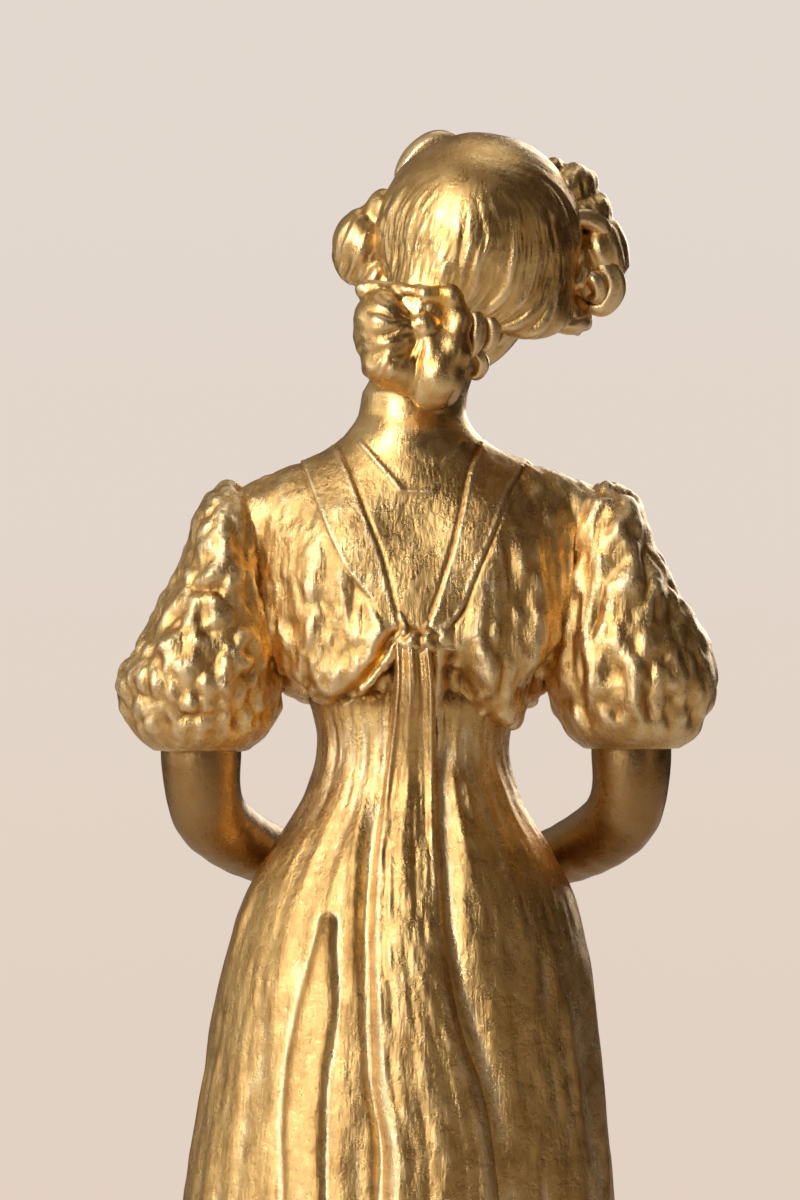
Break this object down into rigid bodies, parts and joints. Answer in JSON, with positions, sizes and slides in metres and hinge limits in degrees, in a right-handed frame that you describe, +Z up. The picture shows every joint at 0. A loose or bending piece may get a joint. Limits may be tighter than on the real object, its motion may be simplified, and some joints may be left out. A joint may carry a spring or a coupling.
{
  "type": "bronze statuette",
  "caption": "Gilt bronze statuette of a standing woman in a high-waisted dress with puffed sleeves, hands clasped, on a round marble socle.",
  "frame": {"origin": "middle of the underside, on the felt that the statuette rests on", "axes": "+Z up the figure; the figure faces -Y, and its left arm is on +X"},
  "size_m": [0.11, 0.11, 0.3003],
  "materials": {
    "gilt_bronze": "worn mercury gilding, satin, brown in the hollows",
    "raw_bronze": "unpolished casting, unseen inside",
    "steel": "plain, slightly tarnished",
    "marble": "polished dark green marble with pale veins",
    "felt": "green baize"
  },
  "bodies": {
    "root": {"bronze_terrace": "gilt_bronze", "skirt": "gilt_bronze", "bodice": "gilt_bronze", "left_sleeve": "gilt_bronze", "right_sleeve": "gilt_bronze", "left_arm": "gilt_bronze", "right_arm": "gilt_bronze", "clasped_hands": "gilt_bronze", "head": "gilt_bronze", "front_hair_roll": "gilt_bronze", "chignon": "gilt_bronze", "sash_knot": "gilt_bronze", "sash_tail": "gilt_bronze", "waist_spigot": "raw_bronze", "neck_spigot": "raw_bronze", "waist_pins": "raw_bronze", "shoulder_pins": "raw_bronze", "arm_pins": "raw_bronze", "wrist_dowels": "raw_bronze", "rod_bridge": "raw_bronze", "tie_rod": "steel", "tie_washer": "steel", "tie_nut": "steel", "locating_pins": "steel", "marble_socle": "marble", "base_felt": "felt"}
  },
  "joints": []
}
